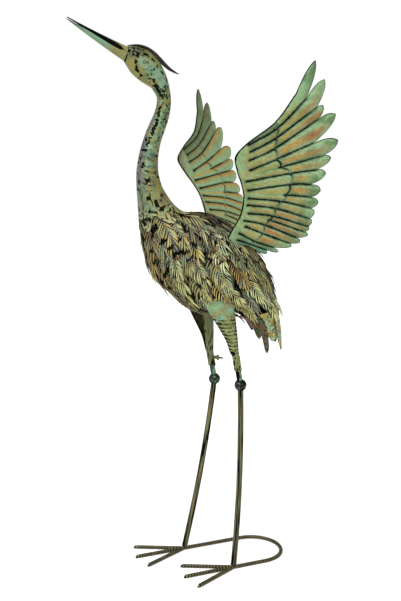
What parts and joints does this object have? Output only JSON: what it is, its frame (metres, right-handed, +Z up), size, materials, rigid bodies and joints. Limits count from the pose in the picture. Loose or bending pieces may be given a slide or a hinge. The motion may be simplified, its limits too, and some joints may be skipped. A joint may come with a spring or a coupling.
{
  "type": "metal garden crane figurine",
  "caption": "Tall standing garden crane of patinated pressed sheet metal, with raised wings, long rod legs, splayed rod toes and a U-shaped ground loop behind the feet.",
  "frame": {"origin": "on the ground, at the middle of the bird's bounding box", "axes": "+Z up, the bird faces -X, its left side is at -Y"},
  "size_m": [0.4542, 0.5152, 1.095],
  "materials": {
    "feather_shell": "patinated khaki and gold over black, satin",
    "tail_sheet": "patinated gold and mint, speckled, satin",
    "neck_sheet": "patinated green and gold, satin",
    "beak_dark": "near black with a lighter ridge, satin",
    "beak_light": "mint to gold, satin",
    "crest_dark": "dark brown, satin",
    "wing_sheet": "verdigris green with gold and rust strokes, satin",
    "thigh_sheet": "verdigris green, dark inside, satin",
    "leg_rod": "dark olive bronze, satin",
    "knee_ball": "dark green black, semi gloss",
    "clamp_screw": "aged bronze, satin",
    "ribbed_rod": "dark bronze, satin"
  },
  "bodies": {
    "root": {"beak_lower": "beak_light", "beak_upper": "beak_dark", "body": "feather_shell", "crest": "crest_dark", "left_clamp_screw": "clamp_screw", "left_inner_toe": "ribbed_rod", "left_knee_ball": "knee_ball", "left_leg_tube": "leg_rod", "left_middle_toe": "ribbed_rod", "left_outer_toe": "ribbed_rod", "left_tail_feather_1": "tail_sheet", "left_tail_feather_2": "tail_sheet", "left_tail_feather_3": "tail_sheet", "left_tail_feather_4": "tail_sheet", "left_tail_feather_5": "tail_sheet", "left_thigh": "thigh_sheet", "left_upper_rod": "leg_rod", "left_wing": "wing_sheet", "neck_and_head": "neck_sheet", "right_clamp_screw": "clamp_screw", "right_inner_toe": "ribbed_rod", "right_knee_ball": "knee_ball", "right_leg_tube": "leg_rod", "right_middle_toe": "ribbed_rod", "right_outer_toe": "ribbed_rod", "right_tail_feather_1": "tail_sheet", "right_tail_feather_2": "tail_sheet", "right_tail_feather_3": "tail_sheet", "right_tail_feather_4": "tail_sheet", "right_tail_feather_5": "tail_sheet", "right_thigh": "thigh_sheet", "right_upper_rod": "leg_rod", "right_wing": "wing_sheet", "stand_loop": "ribbed_rod", "tail_feather_centre": "tail_sheet"}
  },
  "joints": []
}
